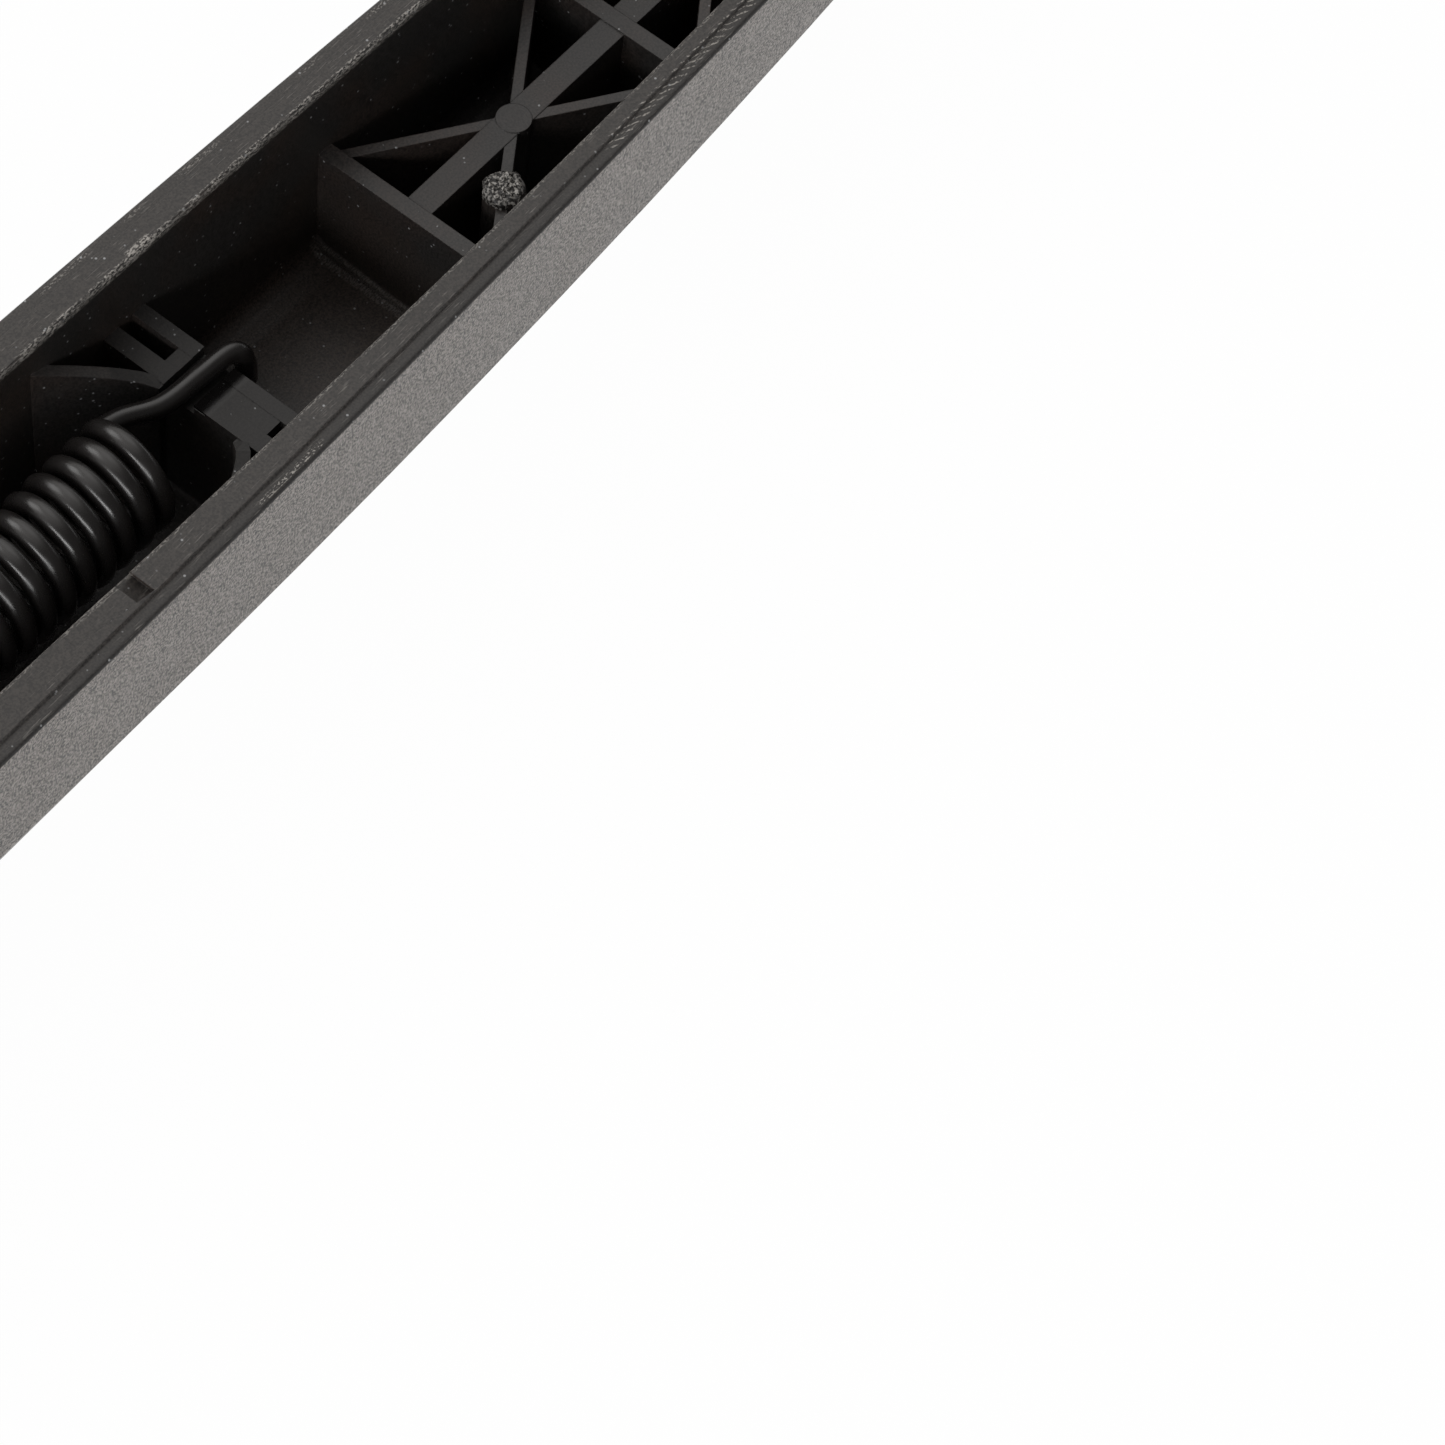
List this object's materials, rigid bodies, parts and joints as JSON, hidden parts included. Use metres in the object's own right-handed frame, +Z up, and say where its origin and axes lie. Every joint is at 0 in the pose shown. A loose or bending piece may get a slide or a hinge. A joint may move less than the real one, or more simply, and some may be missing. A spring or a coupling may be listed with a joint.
{
  "type": "snap mouse trap",
  "caption": "Black plastic snap mouse trap: long narrow tail trough holding an extension spring, front deck with treadle and bait cup, hinged wire striker bow.",
  "frame": {"origin": "centre of the footprint of the whole trap, on the face it rests on", "axes": "+X towards the tail's tip, +Y to the left when looking at the tail's tip, +Z up out of the open side of the trough"},
  "size_m": [0.155, 0.042, 0.0203],
  "materials": {
    "black_abs": "satin",
    "spring_steel": "black oiled",
    "zinc_steel": "zinc plated",
    "hub_nylon": "satin",
    "grip_rubber": "matte",
    "trigger_acetal": "satin"
  },
  "bodies": {
    "base": {"base": "black_abs", "pivot_pin": "zinc_steel", "pivot_clip": "zinc_steel", "latch_pin": "zinc_steel", "treadle_pin": "zinc_steel"},
    "striker": {"striker_hub": "hub_nylon", "crank_pin": "zinc_steel", "strike_bow": "zinc_steel", "grip_sleeve": "grip_rubber"},
    "spring_end": {"main_spring": "spring_steel"},
    "treadle": {"treadle": "trigger_acetal", "bait_cup": "trigger_acetal"},
    "latch": {"trip_latch": "trigger_acetal"}
  },
  "joints": [
    {"name": "striker_swing", "type": "hinge", "parent": "base", "child": "striker", "pos_m": [-0.03517, 0, 0.01599], "axis": [0, 1, 0], "range_deg": [0, 95], "stiffness_Nm_per_rad": 0.05, "springref_deg": -22.92},
    {"name": "spring_stretch", "type": "slide", "parent": "base", "child": "spring_end", "axis": [-1, 0, 0], "range_m": [0, 0.0092], "deforming": ["main_spring"]},
    {"name": "treadle_tilt", "type": "hinge", "parent": "base", "child": "treadle", "pos_m": [-0.05137, 0, 0.0052], "axis": [0, 1, 0], "range_deg": [0, 6]},
    {"name": "latch_swing", "type": "hinge", "parent": "base", "child": "latch", "pos_m": [-0.04537, 0, 0.007], "axis": [0, 1, 0], "range_deg": [0, 18.2]}
  ],
  "couplings": [
    {"joint": "spring_stretch", "follows": "striker_swing", "m_per_rad": 0.005513},
    {"joint": "latch_swing", "follows": "treadle_tilt", "ratio": 3}
  ]
}
